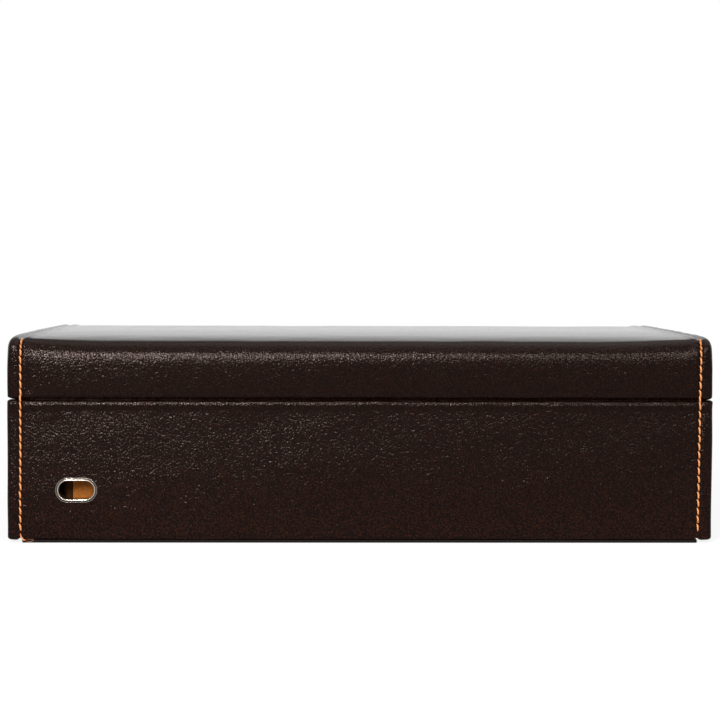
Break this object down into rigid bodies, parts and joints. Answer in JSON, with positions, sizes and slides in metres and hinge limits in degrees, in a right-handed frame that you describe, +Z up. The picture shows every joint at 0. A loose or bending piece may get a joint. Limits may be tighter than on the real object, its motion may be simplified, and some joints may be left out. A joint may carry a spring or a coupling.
{
  "type": "watch box with drawer",
  "caption": "Leather watch box with a padded lid on a leather hinge, watch cushions in a divided suede tray, and a drawer below it with a metal-lined cable hole in the back",
  "frame": {"origin": "centre of the resting face, under the middle of the case", "axes": "+Z up, -Y towards the drawer front, +Y towards the hinge, +X towards the side with the cable hole"},
  "size_m": [0.33, 0.2349, 0.0965],
  "materials": {
    "dark_leather": "fine-grained dark brown leather",
    "board": "fibreboard",
    "tan_suede": "tan suede over thin card",
    "cushion_suede": "soft suede over foam",
    "polished_nickel": "polished nickel plate",
    "plated_steel": "bright zinc plate",
    "base_cloth": "black cloth over board",
    "felt": "dark felt",
    "foam": "thin firm foam"
  },
  "bodies": {
    "case": {"case_leather_left": "dark_leather", "case_leather_right": "dark_leather", "back_leather": "dark_leather", "rail_leather": "dark_leather", "sill_leather": "dark_leather", "base_plate": "base_cloth", "bottom_board": "board", "side_wall_right": "board", "side_wall_left": "board", "back_wall": "board", "shelf_board": "board", "front_rail": "board", "case_magnets": "plated_steel", "tray_floor_lining": "tan_suede", "tray_wall_lining": "tan_suede", "long_divider": "tan_suede", "short_dividers": "tan_suede", "watch_cushion_01": "cushion_suede", "watch_cushion_02": "cushion_suede", "watch_cushion_03": "cushion_suede", "watch_cushion_04": "cushion_suede", "watch_cushion_05": "cushion_suede", "watch_cushion_06": "cushion_suede", "watch_cushion_07": "cushion_suede", "watch_cushion_08": "cushion_suede", "watch_cushion_09": "cushion_suede", "watch_cushion_10": "cushion_suede", "watch_cushion_11": "cushion_suede", "watch_cushion_12": "cushion_suede", "cable_grommet": "polished_nickel", "grommet_clinch_ring": "polished_nickel", "drawer_runners": "felt", "drawer_stops": "tan_suede", "drawer_bumpers": "felt", "hinge_leather": "dark_leather", "hinge_gusset": "tan_suede"},
    "lid": {"lid_leather_left": "dark_leather", "lid_leather_right": "dark_leather", "lid_leather": "dark_leather", "lid_frame": "board", "lid_top_board": "board", "lid_padding": "foam", "lid_wall_lining": "tan_suede", "lid_inner_pad": "tan_suede", "lid_magnets": "plated_steel", "lid_lift": "polished_nickel", "lid_lift_rivets": "polished_nickel"},
    "drawer": {"drawer_front_leather": "dark_leather", "drawer_front_board": "board", "drawer_box_front": "tan_suede", "drawer_side_right": "tan_suede", "drawer_side_left": "tan_suede", "drawer_back": "tan_suede", "drawer_bottom": "tan_suede", "drawer_lining": "tan_suede", "drawer_dividers": "tan_suede", "ring_pad": "tan_suede", "drawer_knob": "polished_nickel", "knob_screw": "plated_steel"}
  },
  "joints": [
    {"name": "lid_hinge", "type": "hinge", "parent": "case", "child": "lid", "pos_m": [0, 0.11, 0.0672], "axis": [-1, 0, 0], "range_deg": [0, 100], "deforming": ["hinge_leather", "hinge_gusset"]},
    {"name": "drawer_slide", "type": "slide", "parent": "case", "child": "drawer", "axis": [0, -1, 0], "range_m": [0, 0.14]}
  ]
}
